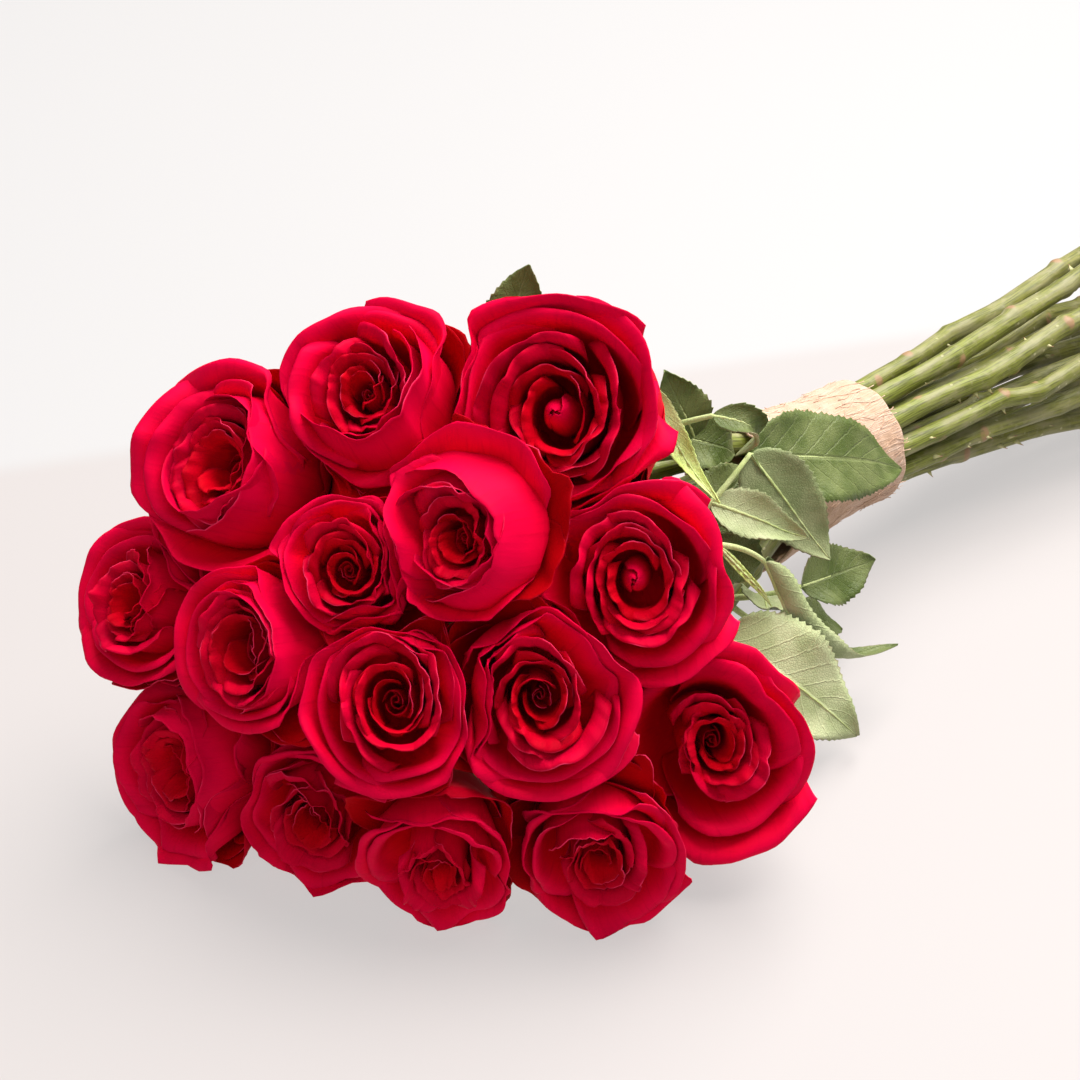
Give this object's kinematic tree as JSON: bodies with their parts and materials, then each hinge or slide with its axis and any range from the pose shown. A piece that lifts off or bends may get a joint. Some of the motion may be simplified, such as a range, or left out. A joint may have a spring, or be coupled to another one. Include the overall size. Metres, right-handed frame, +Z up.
{
  "type": "bunch of roses",
  "caption": "Bunch of long-stemmed red roses lying on its side, with layered open heads, toothed leaves and a fibre cuff wrapped round the stems.",
  "frame": {"origin": "centre of the bounding box, on the surface the bunch lies on", "axes": "+X along the stems from the heads to the cut ends, -X and -Y the sides the heads look at, +Z up"},
  "size_m": [0.5926, 0.2578, 0.1975],
  "materials": {
    "petal": "soft velvety red petal, matt, darker and more purple towards the rims",
    "green": "green rose stem with leaf scars and thorns, sepals and toothed leaves, slightly waxy",
    "fibre": "stiff pressed natural fibre, matt, with fine streaks round it"
  },
  "bodies": {
    "root": {"bloom_01": "petal", "bloom_02": "petal", "bloom_03": "petal", "bloom_04": "petal", "bloom_05": "petal", "bloom_06": "petal", "bloom_07": "petal", "bloom_08": "petal", "bloom_09": "petal", "bloom_10": "petal", "bloom_11": "petal", "bloom_12": "petal", "bloom_13": "petal", "bloom_14": "petal", "bloom_15": "petal", "stem_01": "green", "stem_02": "green", "stem_03": "green", "stem_04": "green", "stem_05": "green", "stem_06": "green", "stem_07": "green", "stem_08": "green", "stem_09": "green", "stem_10": "green", "stem_11": "green", "stem_12": "green", "stem_13": "green", "stem_14": "green", "stem_15": "green", "cuff": "fibre"}
  },
  "joints": []
}
